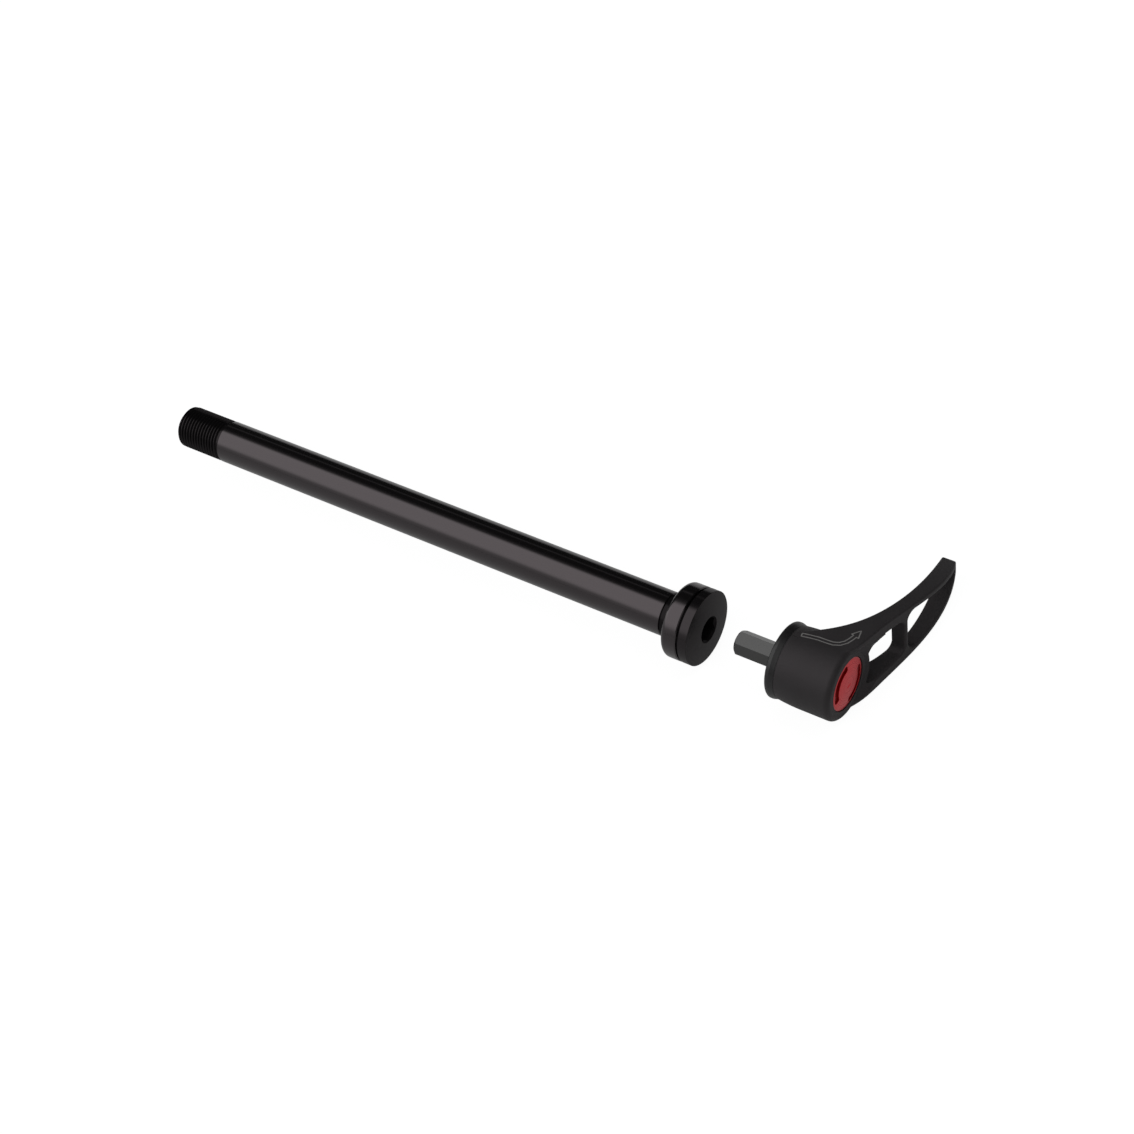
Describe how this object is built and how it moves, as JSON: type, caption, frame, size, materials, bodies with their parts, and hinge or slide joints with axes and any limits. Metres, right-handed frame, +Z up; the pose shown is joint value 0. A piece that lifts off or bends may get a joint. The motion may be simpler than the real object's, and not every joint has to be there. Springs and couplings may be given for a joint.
{
  "type": "bicycle thru axle",
  "caption": "Threaded bicycle thru axle with a hex socket in its head, and a plug-in ratchet lever with a windowed arm drawn clear of it.",
  "frame": {"origin": "on the axle's axis, in the plane of the washer's back face, where the head clamps the frame", "axes": "+X along the axle from the thread towards the lever, +Z up, lever arm towards +Y"},
  "size_m": [0.2215, 0.059, 0.0218],
  "materials": {
    "black_anodised": "gloss black anodised",
    "black_washer": "satin black anodised",
    "satin_black": "bead-blasted satin black anodised",
    "black_steel": "black oxide",
    "steel": "satin machined steel",
    "spring_steel": "drawn spring wire",
    "red_anodised": "gloss red anodised",
    "rubber": "moulded rubber"
  },
  "bodies": {
    "axle": {"axle_shaft": "black_anodised", "washer_ring": "rubber"},
    "washer": {"clamp_washer": "black_washer"},
    "stem": {"hex_stem": "black_steel", "return_spring": "spring_steel", "retaining_washer": "steel", "retaining_screw": "black_steel"},
    "spring_seat": {"thrust_washer": "steel"},
    "lever": {"lever_body": "satin_black", "ratchet_sleeve": "black_steel", "end_cap": "red_anodised", "cap_seal": "rubber"}
  },
  "joints": [
    {"name": "washer_spin", "type": "hinge", "parent": "axle", "child": "washer", "pos_m": [0.0026, 0, 0], "axis": [1, 0, 0], "continuous": true},
    {"name": "lever_plug", "type": "slide", "parent": "axle", "child": "stem", "axis": [1, 0, 0], "range_m": [-0.0219, 0]},
    {"name": "lever_pull", "type": "slide", "parent": "stem", "child": "spring_seat", "axis": [1, 0, 0], "range_m": [0, 0.0038], "stiffness_N_per_m": 1300, "springref_m": -0.003, "deforming": ["return_spring"]},
    {"name": "lever_turn", "type": "hinge", "parent": "spring_seat", "child": "lever", "pos_m": [0.03664, 0, 0], "axis": [1, 0, 0], "continuous": true}
  ]
}
